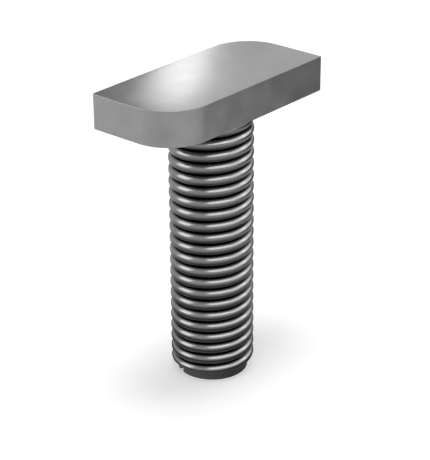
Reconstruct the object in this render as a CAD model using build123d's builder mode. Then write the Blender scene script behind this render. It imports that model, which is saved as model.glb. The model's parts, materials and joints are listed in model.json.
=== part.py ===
from build123d import *
from math import radians, tan
import os

# Sizes in millimetres. A hammer-head T-bolt for an M12 thread, 40 long under the head.
thread_diameter = 12.0
thread_pitch = 1.75
shank_length = 40.0
underhead_cone_height = 0.5

# The turns of the thread are level ring grooves here, with the thread's own pitch and flank
# angle, cut two thirds as deep as the real thread. They leave flat crests.
first_groove_height = 1.0
groove_depth = 0.63
flank_angle = 30.0

# The plain tapered end below the first turn of the thread
end_face_diameter = 10.8
end_taper_height = 1.3

# The head: a flat plate with two opposite corners rounded, so that it can turn in its channel.
# The two sharp corners then stop it against the channel's walls after a quarter turn.
head_length = 31.0
head_width = 14.4
head_thickness = 5.0
turning_corner_radius = 6.2
head_edge_break = 0.2

# The saw cut across the end face, which shows how the hidden head stands in its channel.
# Its turn is counted from the head's long direction.
marking_slot_width = 1.0
marking_slot_depth = 1.5
marking_slot_turn = -22.0

crest_radius = thread_diameter / 2
cone_start = shank_length - underhead_cone_height

# As many grooves are cut as fit below the cone under the head
groove_half_width = groove_depth * tan(radians(flank_angle))
last_groove_height = cone_start - groove_half_width
groove_count = int((last_groove_height - first_groove_height) // thread_pitch) + 1

with BuildPart() as t_bolt:
    # The shank is turned: end face, taper, crest diameter, and the cone that meets the head
    with BuildSketch(Plane.XZ) as shank_half:
        with BuildLine():
            Polyline(
                (0, shank_length),
                (0, 0),
                (end_face_diameter / 2, 0),
                (crest_radius, end_taper_height),
                (crest_radius, cone_start),
                (crest_radius + underhead_cone_height, shank_length),
                close=True,
            )
        make_face()
    revolve(axis=Axis.Z)

    # The turns of the thread are cut all round it, each a ring with straight flanks
    with BuildSketch(Plane.XZ) as groove_halves:
        for turn in range(groove_count):
            with Locations((crest_radius, first_groove_height + turn * thread_pitch)):
                Polygon(
                    (0, groove_half_width),
                    (-groove_depth, 0),
                    (0, -groove_half_width),
                    align=None,
                )
    revolve(axis=Axis.Z, mode=Mode.SUBTRACT)

    # The head is a plate whose flat underside bears on the channel's lips
    with BuildSketch(Plane.XY.offset(shank_length)) as head_outline:
        Rectangle(head_length, head_width)
        rising_diagonal = Axis((0, 0, 0), (head_length, head_width, 0))
        corners = head_outline.vertices().sort_by(rising_diagonal)
        fillet([corners[0], corners[-1]], radius=turning_corner_radius)
    extrude(amount=head_thickness)
    top_face = t_bolt.faces().sort_by(Axis.Z)[-1]
    chamfer(top_face.edges(), length=head_edge_break)

    # The marking slot is sawn right across the end face
    with BuildSketch(Plane.XY):
        Rectangle(thread_diameter, marking_slot_width, rotation=marking_slot_turn)
    extrude(amount=marking_slot_depth, mode=Mode.SUBTRACT)

t_bolt.part.label = "t_bolt"

os.makedirs("parts", exist_ok=True)
export_step(t_bolt.part, "parts/t_bolt.step")
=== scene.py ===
import json
import math

import bmesh
import bpy
from bpy.props import FloatProperty, FloatVectorProperty, IntProperty, PointerProperty
from mathutils import Matrix, Vector


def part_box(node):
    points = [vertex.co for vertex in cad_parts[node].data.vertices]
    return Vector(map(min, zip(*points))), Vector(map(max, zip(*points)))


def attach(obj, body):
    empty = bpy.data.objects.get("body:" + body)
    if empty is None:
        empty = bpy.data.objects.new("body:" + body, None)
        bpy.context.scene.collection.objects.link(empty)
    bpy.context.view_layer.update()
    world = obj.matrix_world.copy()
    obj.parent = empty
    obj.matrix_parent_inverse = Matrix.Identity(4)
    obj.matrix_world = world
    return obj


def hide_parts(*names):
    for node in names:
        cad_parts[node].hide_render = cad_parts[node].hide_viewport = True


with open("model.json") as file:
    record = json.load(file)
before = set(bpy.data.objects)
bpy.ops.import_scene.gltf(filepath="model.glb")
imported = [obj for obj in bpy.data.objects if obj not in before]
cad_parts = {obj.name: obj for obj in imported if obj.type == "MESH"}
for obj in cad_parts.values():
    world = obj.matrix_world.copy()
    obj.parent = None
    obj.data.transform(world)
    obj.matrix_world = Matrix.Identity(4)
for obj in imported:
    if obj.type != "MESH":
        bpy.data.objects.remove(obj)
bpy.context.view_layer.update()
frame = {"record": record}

bl_info = {
    "name": "Hammer-Head T-Bolt",
    "version": (1, 0, 0),
    "blender": (4, 5, 0),
    "location": "3D View > Sidebar > T-Bolt",
    "description": "Rolls the thread of the T-bolt, finishes its steel and sets the stage for its picture",
    "category": "Object",
}

MM = 0.001
BOLT_NODE = "t_bolt"
BLACK = (0.0, 0.0, 0.0)
WHITE = (1.0, 1.0, 1.0)

# What the frame already knows: the outline of the head, the thread's crests and the head's underside
node_low, node_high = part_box(BOLT_NODE)
mounts = {mount["name"]: mount for mount in frame["record"]["mounts"]}
CREST_RADIUS = mounts["threaded_shank"]["dims"]["r_mm"] * MM
UNDERHEAD = mounts["bearing_face"]["pos_m"][2]


class BoltSizes(bpy.types.PropertyGroup):
    """The real sizes of the bolt, in metres and radians."""

    head_length: FloatProperty(
        name="Head Length",
        description="Length of the head, along its channel",
        default=node_high.x - node_low.x,
        unit="LENGTH",
    )
    head_width: FloatProperty(
        name="Head Width",
        description="Width of the head, across its channel",
        default=node_high.y - node_low.y,
        unit="LENGTH",
    )
    head_top: FloatProperty(
        name="Head Top",
        description="Height of the head's top face above the end of the shank",
        default=node_high.z,
        unit="LENGTH",
    )
    shank_length: FloatProperty(
        name="Shank Length",
        description="Length of the bolt under its head",
        default=UNDERHEAD,
        unit="LENGTH",
    )
    turning_radius: FloatProperty(
        name="Turning Corner Radius",
        description="Radius of the two opposite corners that let the head turn in its channel",
        default=6.2 * MM,
        unit="LENGTH",
    )
    sharp_radius: FloatProperty(
        name="Sharp Corner Radius",
        description="Radius left on the two corners that stop the head against the channel",
        default=0.25 * MM,
        unit="LENGTH",
    )
    edge_break: FloatProperty(
        name="Edge Break",
        description="Rounding of the edges round the top and the underside of the head",
        default=0.035 * MM,
        unit="LENGTH",
    )
    crest_radius: FloatProperty(
        name="Crest Radius",
        description="Radius of the shank over the crests of its thread",
        default=CREST_RADIUS,
        unit="LENGTH",
    )
    pitch: FloatProperty(
        name="Pitch",
        description="Rise of the thread in one turn",
        default=1.75 * MM,
        unit="LENGTH",
    )
    thread_depth: FloatProperty(
        name="Thread Depth",
        description="Depth of the thread's root below its crest",
        default=0.947 * MM,
        unit="LENGTH",
    )
    first_groove: FloatProperty(
        name="First Groove",
        description="Height of the lowest groove where it passes the start angle",
        default=1.0 * MM,
        unit="LENGTH",
    )
    start_angle: FloatProperty(
        name="Start Angle",
        description="Angle round the shank at which the height of the lowest groove is taken",
        default=math.radians(220.8),
        subtype="ANGLE",
    )
    runout_start: FloatProperty(
        name="Run-Out Start",
        description="Height at which the grooves begin to grow shallow under the head",
        default=39.85 * MM,
        unit="LENGTH",
    )
    runout_end: FloatProperty(
        name="Run-Out End",
        description="Height at which the thread has run out",
        default=40.0 * MM,
        unit="LENGTH",
    )
    fillet_radius: FloatProperty(
        name="Underhead Fillet",
        description="Radius of the fillet between the shank and the head",
        default=0.1 * MM,
        unit="LENGTH",
    )
    end_radius: FloatProperty(
        name="End Face Radius",
        description="Radius of the flat end of the shank",
        default=5.1 * MM,
        unit="LENGTH",
    )
    collar_height: FloatProperty(
        name="Collar Height",
        description="Height of the turned collar at the end, with the shoulder above it",
        default=1.6 * MM,
        unit="LENGTH",
    )
    slot_width: FloatProperty(
        name="Slot Width",
        description="Width of the marking slot across the end face",
        default=1.0 * MM,
        unit="LENGTH",
    )
    slot_depth: FloatProperty(
        name="Slot Depth",
        description="Depth of the marking slot",
        default=1.5 * MM,
        unit="LENGTH",
    )
    slot_turn: FloatProperty(
        name="Slot Turn",
        description="Angle of the marking slot from the head's long direction",
        default=math.radians(-22),
        subtype="ANGLE",
    )
    segments: IntProperty(
        name="Segments",
        description="Faces round the shank",
        default=128,
        min=24,
    )
    rows_per_turn: IntProperty(
        name="Rows per Turn",
        description="Rows of faces across each turn of the thread",
        default=16,
        min=6,
    )


class SteelFinish(bpy.types.PropertyGroup):
    """The colours and the smoothness of the steel."""

    head_colour: FloatVectorProperty(
        name="Head Colour",
        description="Colour of the forged and blasted head",
        default=(0.29, 0.29, 0.29),
        subtype="COLOR",
        size=3,
        min=0,
        max=1,
    )
    thread_colour: FloatVectorProperty(
        name="Thread Colour",
        description="Colour of the rolled crests of the thread",
        default=(0.2, 0.2, 0.2),
        subtype="COLOR",
        size=3,
        min=0,
        max=1,
    )
    # This colour is painted shade in the thread's roots, partly also a dark oil film, and a painted shadow
    # of the head on the last turn
    root_film_and_shade_colour: FloatVectorProperty(
        name="Root Colour",
        description="Colour of the dark film left in the roots of the thread",
        default=(0.035, 0.035, 0.035),
        subtype="COLOR",
        size=3,
        min=0,
        max=1,
    )
    head_roughness: FloatProperty(
        name="Head Roughness",
        description="Roughness of the head",
        default=0.36,
        min=0,
        max=1,
    )
    thread_roughness: FloatProperty(
        name="Thread Roughness",
        description="Roughness of the rolled thread, which is smoother than the head",
        default=0.23,
        min=0,
        max=1,
    )


class StageSettings(bpy.types.PropertyGroup):
    """The light, the floor and the camera."""

    studio_level: FloatProperty(
        name="Studio Level",
        description="Brightness of the pale studio that lights the floor from all sides",
        default=0.56,
        min=0,
    )
    sun_level: FloatProperty(
        name="Overhead Level",
        description="Share of the floor's light that comes from straight above",
        default=0.3,
        min=0,
    )
    sun_angle: FloatProperty(
        name="Overhead Angle",
        description="Apparent width of the overhead light, which softens the shadow of the head",
        default=math.radians(18),
        subtype="ANGLE",
    )
    floor_colour: FloatVectorProperty(
        name="Floor Colour",
        description="Colour of the pale floor",
        default=(0.85, 0.85, 0.85),
        subtype="COLOR",
        size=3,
        min=0,
        max=1,
    )
    floor_side: FloatProperty(
        name="Floor Side",
        description="Length of each side of the floor",
        default=6.0,
        unit="LENGTH",
    )
    floor_lift: FloatProperty(
        name="Floor Lift",
        description="What the camera sees added to the lit floor, so that it is white outside the shadow",
        default=0.38,
        min=0,
    )
    softbox_distance: FloatProperty(
        name="Softbox Distance",
        description="Distance of the large softboxes from the middle of the bolt",
        default=0.3,
        unit="LENGTH",
    )
    rear_distance: FloatProperty(
        name="Rear Distance",
        description="Distance behind the head of the softboxes and cards that its top face mirrors",
        default=60 * MM,
        unit="LENGTH",
    )
    camera_azimuth: FloatProperty(
        name="Camera Azimuth",
        description="Direction in which the camera looks, turned from +Y towards +X",
        default=math.radians(49.23),
        subtype="ANGLE",
    )
    camera_elevation: FloatProperty(
        name="Camera Elevation",
        description="Angle of the camera above the floor",
        default=math.radians(25.56),
        subtype="ANGLE",
    )
    camera_roll: FloatProperty(
        name="Camera Roll",
        description="Turn of the camera about its own line of sight",
        default=math.radians(-0.42),
        subtype="ANGLE",
    )
    camera_distance: FloatProperty(
        name="Camera Distance",
        description="Distance from the camera to the point that it looks at",
        default=226.97 * MM,
        unit="LENGTH",
    )
    camera_target: FloatVectorProperty(
        name="Camera Target",
        description="Point that the camera looks at",
        default=(0.32 * MM, -0.37 * MM, 21.60 * MM),
        subtype="XYZ",
        unit="LENGTH",
        size=3,
    )
    lens: FloatProperty(
        name="Lens",
        description="Focal length in millimetres, on a sensor 36 millimetres long",
        default=125.13,
        min=1,
    )


class Value:
    """A socket that carries a number, so that sums on it add the nodes that work them out."""

    def __init__(self, graph, socket):
        self.graph = graph
        self.socket = socket

    def _math(self, operation, *numbers):
        sockets = dict(enumerate(numbers))
        node = self.graph.node("ShaderNodeMath", {"operation": operation}, sockets)
        return Value(self.graph, node.outputs[0])

    def __add__(self, other):
        return self._math("ADD", self, other)

    def __radd__(self, other):
        return self._math("ADD", other, self)

    def __sub__(self, other):
        return self._math("SUBTRACT", self, other)

    def __rsub__(self, other):
        return self._math("SUBTRACT", other, self)

    def __mul__(self, other):
        return self._math("MULTIPLY", self, other)

    def __rmul__(self, other):
        return self._math("MULTIPLY", other, self)

    def __truediv__(self, other):
        return self._math("DIVIDE", self, other)

    def __rtruediv__(self, other):
        return self._math("DIVIDE", other, self)

    def root(self):
        """The square root, or 0 of what is below 0."""
        return self._math("SQRT", self._math("MAXIMUM", self, 0.0))

    def share(self):
        return self._math("FRACT", self)

    def ceiling(self):
        return self._math("CEIL", self)

    def least(self, other):
        return self._math("MINIMUM", self, other)

    def most(self, other):
        return self._math("MAXIMUM", self, other)

    def sine(self):
        return self._math("SINE", self)

    def cosine(self):
        return self._math("COSINE", self)

    def ease(self, low, high):
        """0 below low, 1 above high, and smooth between them."""
        sockets = {"Value": self, "From Min": low, "From Max": high}
        node = self.graph.node("ShaderNodeMapRange", {"interpolation_type": "SMOOTHSTEP"}, sockets)
        return Value(self.graph, node.outputs["Result"])


class Graph:
    """Adds nodes to one tree, whether it is a shader's or a geometry modifier's."""

    def __init__(self, tree):
        self.tree = tree

    def node(self, kind, settings=None, sockets=None):
        """A new node, with its settings made and its input sockets fed."""
        made = self.tree.nodes.new(kind)
        for name, value in (settings or {}).items():
            setattr(made, name, value)
        for key, value in (sockets or {}).items():
            self.feed(made.inputs[key], value)
        return made

    def value(self, kind, output, settings=None, sockets=None):
        """One output of a new node, ready for sums."""
        return Value(self, self.node(kind, settings, sockets).outputs[output])

    def axes(self, vector):
        """The three parts of a vector."""
        parts = self.node("ShaderNodeSeparateXYZ", sockets={"Vector": vector})
        return [Value(self, socket) for socket in parts.outputs]

    def blend(self, share, first, second, kind="MIX"):
        """A colour that goes from the first to the second as share goes from 0 to 1."""
        settings = {"data_type": "RGBA", "blend_type": kind}
        node = self.node("ShaderNodeMix", settings, {"Factor": share})
        colours = [socket for socket in node.inputs if socket.type == "RGBA"]
        for socket, colour in zip(colours, (first, second)):
            self.feed(socket, colour)
        return next(socket for socket in node.outputs if socket.type == "RGBA")

    def ray_kinds(self):
        """Whether a ray is one that the camera sees, and whether it is one that metal mirrors."""
        path = self.node("ShaderNodeLightPath")
        camera, glass, metal = (
            Value(self, path.outputs[name])
            for name in ("Is Camera Ray", "Is Transmission Ray", "Is Glossy Ray")
        )
        return camera + glass, metal

    def feed(self, socket, value):
        """Links a value to a socket, or sets the socket if the value is a plain one. Colours are opaque."""
        if isinstance(value, Value):
            value = value.socket
        if isinstance(value, bpy.types.NodeSocket):
            self.tree.links.new(value, socket)
        else:
            socket.default_value = (*value, 1.0) if socket.type == "RGBA" else value


def new_material(name):
    """An empty material and the graph that fills it."""
    material = bpy.data.materials.new(name)
    material.use_nodes = True
    material.node_tree.nodes.clear()
    return material, Graph(material.node_tree)


def turned_end(height, end_radius, crest_radius, collar_height):
    """The radius to which the end of the shank is turned, at a height."""
    shoulder = height.ease(0.6 * collar_height, collar_height)
    return shoulder * (crest_radius - end_radius) + end_radius


def thread_tree():
    """A geometry tree that rolls a sheet of faces into a threaded shank, open at both ends."""
    tree = bpy.data.node_groups.new("rolled_thread", "GeometryNodeTree")
    lengths = (
        "Pitch",
        "Crest Radius",
        "Thread Depth",
        "First Groove",
        "Run-Out Start",
        "Run-Out End",
        "Fillet Radius",
        "End Radius",
        "Collar Height",
        "Shank Length",
        "Start Turn",
    )
    tree.interface.new_socket("Geometry", in_out="INPUT", socket_type="NodeSocketGeometry")
    for name in lengths:
        tree.interface.new_socket(name, in_out="INPUT", socket_type="NodeSocketFloat")
    for name in ("Segments", "Rows per Turn"):
        tree.interface.new_socket(name, in_out="INPUT", socket_type="NodeSocketInt")
    tree.interface.new_socket("Material", in_out="INPUT", socket_type="NodeSocketMaterial")
    tree.interface.new_socket("Geometry", in_out="OUTPUT", socket_type="NodeSocketGeometry")

    graph = Graph(tree)
    given = graph.node("NodeGroupInput")
    size = {name: Value(graph, given.outputs[name]) for name in lengths}
    rows_per_turn = Value(graph, given.outputs["Rows per Turn"])

    # The sheet is one turn wide, and runs from under the end face to past the head's underside.
    # Its first row is the bottom of a groove.
    turns = (size["Shank Length"] / size["Pitch"]).ceiling() + 1
    grid = graph.node(
        "GeometryNodeMeshGrid",
        sockets={
            "Size X": 1.0,
            "Size Y": 1.0,
            "Vertices X": Value(graph, given.outputs["Segments"]) + 1,
            "Vertices Y": turns * rows_per_turn + 1,
        },
    )
    place = graph.node("GeometryNodeInputPosition").outputs[0]
    across, along, _ = graph.axes(place)
    around = across + 0.5
    row = (along + 0.5) * turns

    # Each turn has a half round crest, and a sharp root where it meets the next one
    round_crest = row.share() * math.pi
    fall = 1 - round_crest.sine()
    rise = row - row.share() + (1 - round_crest.cosine()) / 2

    # A row keeps to the helix, so it rises by one pitch from one side of the sheet to the other. The
    # thread starts on the collar and runs out under the head.
    lowest_turn = size["First Groove"] / size["Pitch"] - size["Start Turn"] - 1
    height = ((lowest_turn + rise + around) * size["Pitch"]).most(0.0).least(size["Shank Length"])
    fade_in = height.ease(0.0, size["Collar Height"] * 0.5)
    fade_out = 1 - height.ease(size["Run-Out Start"], size["Run-Out End"])
    threaded = size["Crest Radius"] - size["Thread Depth"] * fall * fade_in * fade_out

    # The end is turned to a collar with a shoulder above it, and a fillet flares out to the head
    turned = turned_end(height, size["End Radius"], size["Crest Radius"], size["Collar Height"])
    above = (height - size["Shank Length"] + size["Fillet Radius"]).most(0.0)
    fillet = size["Fillet Radius"]
    flare = fillet - (fillet * fillet - above * above).root()
    radius = threaded.least(turned) + flare

    angle = around * math.tau
    point = graph.node(
        "ShaderNodeCombineXYZ",
        sockets={"X": radius * angle.cosine(), "Y": radius * angle.sine(), "Z": height},
    )
    rolled = graph.node(
        "GeometryNodeSetPosition",
        sockets={"Geometry": grid.outputs["Mesh"], "Position": point.outputs[0]},
    )
    # The seam of the sheet is closed, and the rows beyond the ends shrink to one ring
    seam_gap = 0.008 * MM
    merged = graph.node(
        "GeometryNodeMergeByDistance",
        sockets={"Geometry": rolled.outputs["Geometry"], "Distance": seam_gap},
    )
    real = graph.node("GeometryNodeRealizeInstances", sockets={"Geometry": merged.outputs["Geometry"]})
    finished = graph.node(
        "GeometryNodeSetMaterial",
        sockets={"Geometry": real.outputs["Geometry"], "Material": given.outputs["Material"]},
    )
    graph.node("NodeGroupOutput", sockets={"Geometry": finished.outputs["Geometry"]})
    return tree


def evaluated_mesh(holder):
    """The plain mesh that an object's modifiers make."""
    bpy.context.view_layer.update()
    graph = bpy.context.evaluated_depsgraph_get()
    return bpy.data.meshes.new_from_object(holder.evaluated_get(graph), depsgraph=graph)


def threaded_shank(sizes, steel):
    """The mesh of the threaded shank, open at both ends."""
    holder = bpy.data.objects.new("shank_blank", bpy.data.meshes.new("shank_blank"))
    bpy.context.scene.collection.objects.link(holder)
    modifier = holder.modifiers.new("rolled_thread", "NODES")
    modifier.node_group = thread_tree()
    inputs = {
        "Pitch": sizes.pitch,
        "Crest Radius": sizes.crest_radius,
        "Thread Depth": sizes.thread_depth,
        "First Groove": sizes.first_groove,
        "Run-Out Start": sizes.runout_start,
        "Run-Out End": sizes.runout_end,
        "Fillet Radius": sizes.fillet_radius,
        "End Radius": sizes.end_radius,
        "Collar Height": sizes.collar_height,
        "Shank Length": sizes.shank_length,
        "Start Turn": sizes.start_angle / math.tau,
        "Segments": sizes.segments,
        "Rows per Turn": sizes.rows_per_turn,
        "Material": steel,
    }
    for item in modifier.node_group.interface.items_tree:
        if item.in_out == "INPUT" and item.name in inputs:
            modifier[item.identifier] = inputs[item.name]
    mesh = evaluated_mesh(holder)
    bpy.data.objects.remove(holder)
    return mesh


def head_outline(sizes, inset):
    """Points round the head, drawn in by inset. Two opposite corners are rounded, and two are sharp."""
    corner_steps = 28
    sharp_steps = 3
    # A point this far before and after each corner keeps the sides' shading flat
    support = 0.2 * MM
    half_length = sizes.head_length / 2
    half_width = sizes.head_width / 2
    points = []
    for quarter, (side_x, side_y) in enumerate(((1, 1), (-1, 1), (-1, -1), (1, -1))):
        turning = side_x == side_y
        radius = sizes.turning_radius if turning else sizes.sharp_radius
        steps = corner_steps if turning else sharp_steps
        centre = Vector((side_x * (half_length - radius), side_y * (half_width - radius)))
        first = math.radians(90 * quarter)
        arc = [first + math.radians(90) * step / steps for step in range(steps + 1)]
        ring = [centre + Vector((math.cos(a), math.sin(a))) * (radius - inset) for a in arc]
        before = ring[0] - Vector((-math.sin(arc[0]), math.cos(arc[0]))) * support
        after = ring[-1] + Vector((-math.sin(arc[-1]), math.cos(arc[-1]))) * support
        points += [before, *ring, after]
    return points


def head_rings(sizes):
    """The inset and the height of each ring of the head, from its underside to its top face."""
    steps = 4
    # A ring this far from each rounded edge keeps the sides' shading flat
    support = 0.08 * MM
    low, high, r = sizes.shank_length, sizes.head_top, sizes.edge_break
    turns = [math.radians(90) * step / steps for step in range(steps + 1)]
    rings = [(r * (1 - math.sin(a)), low + r * (1 - math.cos(a))) for a in turns]
    rings.append((0.0, low + r + support))
    rings.append((0.0, high - r - support))
    rings += [(r * (1 - math.cos(a)), high - r * (1 - math.sin(a))) for a in turns]
    return rings


def open_ring(bm, height):
    """The edges of the open end at a height, made level."""
    near = 0.02 * MM
    ring = [
        edge
        for edge in bm.edges
        if edge.is_boundary and all(abs(v.co.z - height) < near for v in edge.verts)
    ]
    for edge in ring:
        for v in edge.verts:
            v.co.z = height
    return ring


def add_head(bm, sizes):
    """Grows the head from the open ring at the top of the shank."""
    shank_ring = open_ring(bm, sizes.shank_length)
    levels = []
    for inset, height in head_rings(sizes):
        outline = head_outline(sizes, inset)
        levels.append([bm.verts.new((p.x, p.y, height)) for p in outline])
    for lower, upper in zip(levels, levels[1:]):
        for i in range(len(lower)):
            bm.faces.new((lower[i - 1], lower[i], upper[i], upper[i - 1]))
    top = bm.faces.new(levels[-1])
    bottom_edges = [bm.edges.get((levels[0][i - 1], levels[0][i])) for i in range(len(levels[0]))]
    filled = bmesh.ops.triangle_fill(bm, use_beauty=True, edges=shank_ring + bottom_edges)
    underside = [f for f in filled["geom"] if isinstance(f, bmesh.types.BMFace)]
    return [top, *underside]


def slot_cutter(sizes):
    """A bar that cuts the marking slot across the end face."""
    bm = bmesh.new()
    bmesh.ops.create_cube(bm, size=1.0)
    length = 4 * sizes.crest_radius
    bmesh.ops.scale(bm, vec=(length, sizes.slot_width, 2 * sizes.slot_depth), verts=bm.verts)
    turn = Matrix.Rotation(sizes.slot_turn, 3, "Z")
    bmesh.ops.rotate(bm, cent=(0, 0, 0), matrix=turn, verts=bm.verts)
    mesh = bpy.data.meshes.new("slot_cutter")
    bm.to_mesh(mesh)
    bm.free()
    cutter = bpy.data.objects.new("slot_cutter", mesh)
    bpy.context.scene.collection.objects.link(cutter)
    return cutter


def cut_slot(piece, sizes):
    """Cuts the marking slot and leaves the result as the piece's plain mesh."""
    cutter = slot_cutter(sizes)
    modifier = piece.modifiers.new("marking_slot", "BOOLEAN")
    modifier.operation = "DIFFERENCE"
    modifier.solver = "EXACT"
    modifier.object = cutter
    cut = evaluated_mesh(piece)
    piece.modifiers.remove(modifier)
    piece.data = cut
    bpy.data.objects.remove(cutter)


def satin_steel(sizes, finish):
    """Forged, blasted steel on the head; smoother rolled steel on the thread, with painted shade in its
    roots and under the head.
    """
    material, graph = new_material("satin_steel")
    place = graph.node("ShaderNodeTexCoord").outputs["Object"]
    scaled = {"operation": "SCALE"}
    in_mm = graph.node("ShaderNodeVectorMath", scaled, {0: place, "Scale": 1 / MM}).outputs[0]
    x, y, z = graph.axes(in_mm)
    radius = (x * x + y * y).root()
    crest = sizes.crest_radius / MM
    end = sizes.end_radius / MM
    underhead = sizes.shank_length / MM
    on_head = z.ease(underhead - 0.1, underhead - 0.02)

    # How far a point of the thread lies below its crests, or below the turned end, as a share of
    # the thread's depth. Its roots are darkened as painted shade, partly also a dark oil film, and the last
    # turn under the head as a painted shadow of the head.
    turned = turned_end(z, end, crest, sizes.collar_height / MM)
    depth = (turned - radius) / (sizes.thread_depth / MM)
    root_film_and_shade = depth.ease(0.15, 0.52)
    # Painted shadow of the head on the last turn of the thread
    painted_head_shadow = z.ease(underhead - 1.3, underhead - 0.7)
    clear_of_film_and_shade = 1 - root_film_and_shade.most(painted_head_shadow)

    def noise(scale, detail, vector=in_mm):
        sockets = {"Vector": vector, "Scale": scale, "Detail": detail}
        return graph.value("ShaderNodeTexNoise", 0, {"noise_dimensions": "3D"}, sockets)

    # Cloudy patches a few millimetres wide, and a fine blasted grain
    clouds = noise(0.35, 3.0) - 0.5
    grain = noise(7.0, 4.0) - 0.5
    # The rolling dies leave fine lines that run round the thread
    stretch = {0: in_mm, 1: (0.5, 0.5, 11.0)}
    lines_place = graph.node("ShaderNodeVectorMath", {"operation": "MULTIPLY"}, stretch).outputs[0]
    lines = noise(1.0, 3.0, lines_place) - 0.5

    # The darker colour is painted shade in the roots, partly a dark oil film, and a painted shadow under
    # the head
    rolled = graph.blend(clear_of_film_and_shade, finish.root_film_and_shade_colour, finish.thread_colour)
    plain = graph.blend(on_head, rolled, finish.head_colour)
    # Together they make the colour up to a fifth darker or lighter
    lighter = clouds * 0.4 + grain * 0.2 + lines * (1 - on_head) * 0.3 + 0.5
    shade = graph.blend(lighter.ease(0.1, 0.9), (0.8, 0.8, 0.8), (1.2, 1.2, 1.2))
    colour = graph.blend(1.0, plain, shade, "MULTIPLY")

    rougher = finish.head_roughness - finish.thread_roughness
    roughness = on_head * rougher + finish.thread_roughness + clouds * 0.12 + grain * 0.08
    relief = grain * on_head * 0.006 + lines * (1 - on_head) * 0.001
    bump = graph.node("ShaderNodeBump", sockets={"Height": relief, "Distance": MM, "Strength": 1.0})

    surface = graph.node(
        "ShaderNodeBsdfPrincipled",
        sockets={
            "Base Color": colour,
            "Metallic": 1.0,
            "Roughness": roughness,
            "Normal": bump.outputs["Normal"],
        },
    )
    graph.node("ShaderNodeOutputMaterial", sockets={"Surface": surface.outputs["BSDF"]})
    return material


class TBOLT_OT_bolt(bpy.types.Operator):
    """Builds the bolt: threaded shank, head with its turning corners, and marking slot"""

    bl_idname = "tbolt.bolt"
    bl_label = "Build Bolt"

    def execute(self, context):
        sizes = context.scene.tbolt_sizes
        steel = satin_steel(sizes, context.scene.tbolt_finish)
        bm = bmesh.new()
        bm.from_mesh(threaded_shank(sizes, steel))
        end_ring = open_ring(bm, 0.0)
        if not end_ring:
            raise RuntimeError("the threaded shank has no open end to close")
        flat = bmesh.ops.holes_fill(bm, edges=end_ring, sides=0)["faces"]
        flat += add_head(bm, sizes)
        for face in bm.faces:
            face.smooth = face not in flat
        bmesh.ops.recalc_face_normals(bm, faces=bm.faces)
        if not all(edge.is_manifold for edge in bm.edges):
            raise RuntimeError("the bolt is not closed")
        mesh = bpy.data.meshes.new("hammer_head_bolt")
        bm.to_mesh(mesh)
        bm.free()
        mesh.materials.append(steel)
        piece = bpy.data.objects.new("hammer_head_bolt", mesh)
        context.scene.collection.objects.link(piece)
        cut_slot(piece, sizes)
        piece.data.set_sharp_from_angle(angle=math.radians(40))
        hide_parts(BOLT_NODE)
        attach(piece, "root")
        return {"FINISHED"}


def floor_material(stage):
    """A pale floor that keeps the shadow, and looks white to the camera outside it. The metal shows a
    painted reflection of it instead.
    """
    material, graph = new_material("pale_floor")
    seen, in_metal = graph.ray_kinds()
    lit = graph.node("ShaderNodeBsdfDiffuse", sockets={"Color": stage.floor_colour})
    lift_colour = graph.blend(seen * stage.floor_lift, BLACK, WHITE)
    lift = graph.node("ShaderNodeEmission", sockets={"Color": lift_colour, "Strength": 1.0})
    seen_floor = graph.node(
        "ShaderNodeAddShader",
        sockets={0: lit.outputs["BSDF"], 1: lift.outputs["Emission"]},
    )
    # Painted reflection: in the metal the floor is white far from the bolt, with painted shade close to it
    # and on its right
    place = graph.node("ShaderNodeTexCoord").outputs["Object"]
    x, y, _ = graph.axes(place)
    square_distance = x * x + y * y
    shade = 36 * MM
    far = square_distance / (square_distance + shade * shade)
    right = x.ease(50 * MM, 82 * MM) * 0.8
    # A painted pool of light under the end shows in its collar, and more so on the left
    under = 1 - square_distance.root().ease(6 * MM, 12 * MM)
    under_right = (x - y).ease(-8 * MM, 8 * MM) * 0.6
    # The level of the painted reflection of the floor that only the metal shows
    pale = far * (1 - right) + under * (1 - under_right) * 0.3
    painted_reflection_colour = graph.blend(pale, BLACK, WHITE)
    painted_reflection = graph.node("ShaderNodeEmission", sockets={"Color": painted_reflection_colour, "Strength": 1.0})
    surface = graph.node(
        "ShaderNodeMixShader",
        sockets={0: in_metal, 1: seen_floor.outputs[0], 2: painted_reflection.outputs["Emission"]},
    )
    graph.node("ShaderNodeOutputMaterial", sockets={"Surface": surface.outputs[0]})
    return material


def card_material():
    """A dark grey that is the same in any light."""
    material, graph = new_material("dark_card")
    dim = graph.node("ShaderNodeEmission", sockets={"Color": (0.3, 0.3, 0.3)})
    graph.node("ShaderNodeOutputMaterial", sockets={"Surface": dim.outputs["Emission"]})
    return material


def square(name, side_x, side_y, material):
    """A flat piece of the stage, centred on its own origin."""
    mesh = bpy.data.meshes.new(name)
    x, y = side_x / 2, side_y / 2
    mesh.from_pydata([(-x, -y, 0), (x, -y, 0), (x, y, 0), (-x, y, 0)], [], [(0, 1, 2, 3)])
    mesh.materials.append(material)
    card = bpy.data.objects.new(name, mesh)
    bpy.context.scene.collection.objects.link(card)
    return card


def build_world(stage):
    """A plain studio: pale where it lights the floor, white to the camera and in the metal."""
    world = bpy.data.worlds.new("studio")
    bpy.context.scene.world = world
    world.use_nodes = True
    world.node_tree.nodes.clear()
    graph = Graph(world.node_tree)
    seen, in_metal = graph.ray_kinds()
    white = (seen + in_metal) * (1 - stage.studio_level) + stage.studio_level
    # The metal shows a ceiling that is darker than the walls
    _, _, height = graph.axes(graph.node("ShaderNodeTexCoord").outputs["Generated"])
    level = white - in_metal * height.ease(0.5, 1.0) * 0.5
    colour = graph.blend(level, BLACK, WHITE)
    background = graph.node("ShaderNodeBackground", sockets={"Color": colour, "Strength": 1.0})
    graph.node("ShaderNodeOutputWorld", sockets={"Surface": background.outputs[0]})


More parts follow.
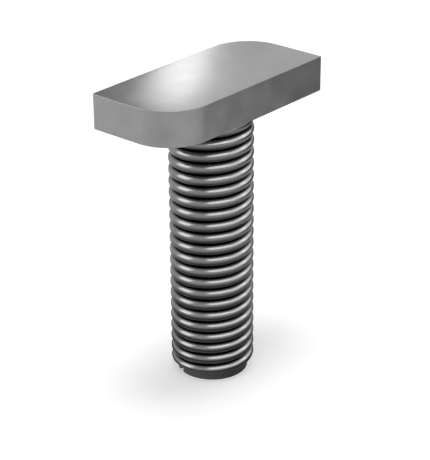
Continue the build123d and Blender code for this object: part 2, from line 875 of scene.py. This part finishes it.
def facing(location, target):
    """The matrix of something at a location whose -Z looks at a target, with its Y upward."""
    location = Vector(location)
    turn = (Vector(target) - location).to_track_quat("-Z", "Y")
    return Matrix.Translation(location) @ turn.to_matrix().to_4x4()


def way_back(azimuth, elevation):
    """The direction from the bolt to something that looks at it along an azimuth, from an elevation."""
    level = math.cos(elevation)
    return Vector((-math.sin(azimuth) * level, -math.cos(azimuth) * level, math.sin(elevation)))


def camera_place(stage):
    """Where the camera stands."""
    way = way_back(stage.camera_azimuth, stage.camera_elevation)
    return Vector(stage.camera_target) + way * stage.camera_distance


def behind(stage, point):
    """Where the camera's line of sight goes from a point of the level top face that mirrors it."""
    way = (point - camera_place(stage)).normalized()
    return point + Vector((way.x, way.y, -way.z)) * stage.rear_distance


def softbox(name, spot, target, width, height, radiance):
    """An area lamp that looks at the bolt. Only the metal sees it, so it casts no shadow of its own."""
    lamp = bpy.data.lights.new(name, "AREA")
    lamp.shape = "RECTANGLE"
    lamp.size = width
    lamp.size_y = height
    lamp.energy = radiance * math.pi * width * height
    holder = bpy.data.objects.new(name, lamp)
    holder.matrix_world = facing(spot, target)
    holder.visible_camera = False
    holder.visible_diffuse = False
    bpy.context.scene.collection.objects.link(holder)


def dark_card(name, spot, target, width, height, material):
    """A dark card that looks at the bolt and that only the metal shows."""
    card = square(name, width, height, material)
    card.matrix_world = facing(spot, target)
    for kind in ("camera", "diffuse", "transmission", "shadow"):
        setattr(card, "visible_" + kind, False)


def build_lamps(stage):
    """One soft light from straight above for the floor, and softboxes that show in the metal."""
    sun = bpy.data.lights.new("overhead", "SUN")
    sun.energy = stage.sun_level * math.pi
    sun.angle = stage.sun_angle
    holder = bpy.data.objects.new("overhead", sun)
    holder.visible_glossy = False
    bpy.context.scene.collection.objects.link(holder)

    # Each large softbox has its degrees to the right of the camera as seen from the bolt, its
    # degrees above the level, its width and height in metres, and its radiance
    large = {
        "left_softbox": (-80, 18, 0.20, 0.21, 2.6),
        "front_softbox": (15, 34, 0.29, 0.21, 2.3),
        "side_softbox": (73, 23, 0.31, 0.21, 1.8),
        "right_softbox": (110, 20, 0.20, 0.21, 1.5),
    }
    middle = Vector((0, 0, 22 * MM))
    for name, (right, up, width, height, radiance) in large.items():
        way = way_back(stage.camera_azimuth - math.radians(right), math.radians(up))
        softbox(name, middle + way * stage.softbox_distance, middle, width, height, radiance)

    # Behind the head stand a small softbox and a weaker one for fill. The camera sees them,
    # blurred, in the head's top face, each round its own point.
    glow = Vector((-8 * MM, -1 * MM, node_high.z))
    softbox("rear_softbox", behind(stage, glow), glow, 10 * MM, 22 * MM, 3.7)
    fill = Vector((0, -4.5 * MM, node_high.z))
    softbox("rear_fill", behind(stage, fill), fill, 16 * MM, 14 * MM, 0.5)


def build_cards(stage):
    """Dark cards that keep the head's top face from showing too much light."""
    dark = card_material()
    # Two stand behind the head, left and right of the rear softbox
    left = Vector((-21 * MM, 11 * MM, node_high.z))
    dark_card("left_card", behind(stage, left), left, 30 * MM, 40 * MM, dark)
    right = Vector((9 * MM, 16 * MM, node_high.z))
    dark_card("right_card", behind(stage, right), right, 40 * MM, 14 * MM, dark)

    # One stands before and above the head's long front edge. It hides the front softbox from the
    # top face, which would otherwise look white from behind.
    edge = Vector((0, node_low.y - 4 * MM, node_high.z + 12.5 * MM))
    dark_card("edge_card", edge, edge + Vector((0, 1, 0)), 90 * MM, 24 * MM, dark)


def build_camera(stage):
    """The camera at the photograph's angle."""
    camera = bpy.data.cameras.new("camera")
    camera.sensor_width = 36
    camera.lens = stage.lens
    camera.clip_start = 10 * MM
    holder = bpy.data.objects.new("camera", camera)
    roll = Matrix.Rotation(stage.camera_roll, 4, "Z")
    holder.matrix_world = facing(camera_place(stage), stage.camera_target) @ roll
    bpy.context.scene.collection.objects.link(holder)
    bpy.context.scene.camera = holder


class TBOLT_OT_stage(bpy.types.Operator):
    """Builds the stage: pale floor, soft studio light and camera"""

    bl_idname = "tbolt.stage"
    bl_label = "Build Stage"

    def execute(self, context):
        stage = context.scene.tbolt_stage
        context.scene.view_settings.view_transform = "Standard"
        square("floor", stage.floor_side, stage.floor_side, floor_material(stage))
        build_world(stage)
        build_lamps(stage)
        build_cards(stage)
        build_camera(stage)
        return {"FINISHED"}


class TBOLT_PT_sidebar(bpy.types.Panel):
    """The steps and the sizes, in the sidebar of the 3D view"""

    bl_idname = "TBOLT_PT_sidebar"
    bl_label = "T-Bolt"
    bl_space_type = "VIEW_3D"
    bl_region_type = "UI"
    bl_category = "T-Bolt"

    def draw(self, context):
        layout = self.layout
        for operator in OPERATORS:
            layout.operator(operator.bl_idname)
        for name in SETTINGS:
            group = getattr(context.scene, name)
            column = layout.column(align=True)
            for setting in group.__annotations__:
                column.prop(group, setting)


OPERATORS = (TBOLT_OT_bolt, TBOLT_OT_stage)
SETTINGS = {"tbolt_sizes": BoltSizes, "tbolt_finish": SteelFinish, "tbolt_stage": StageSettings}


def register():
    for made in (*SETTINGS.values(), *OPERATORS, TBOLT_PT_sidebar):
        bpy.utils.register_class(made)
    for name, group in SETTINGS.items():
        setattr(bpy.types.Scene, name, PointerProperty(type=group))


def unregister():
    for name in SETTINGS:
        delattr(bpy.types.Scene, name)
    for made in (TBOLT_PT_sidebar, *OPERATORS, *SETTINGS.values()):
        bpy.utils.unregister_class(made)


def main():
    register()
    bpy.ops.tbolt.bolt()
    bpy.ops.tbolt.stage()


if __name__ == "__main__":
    main()
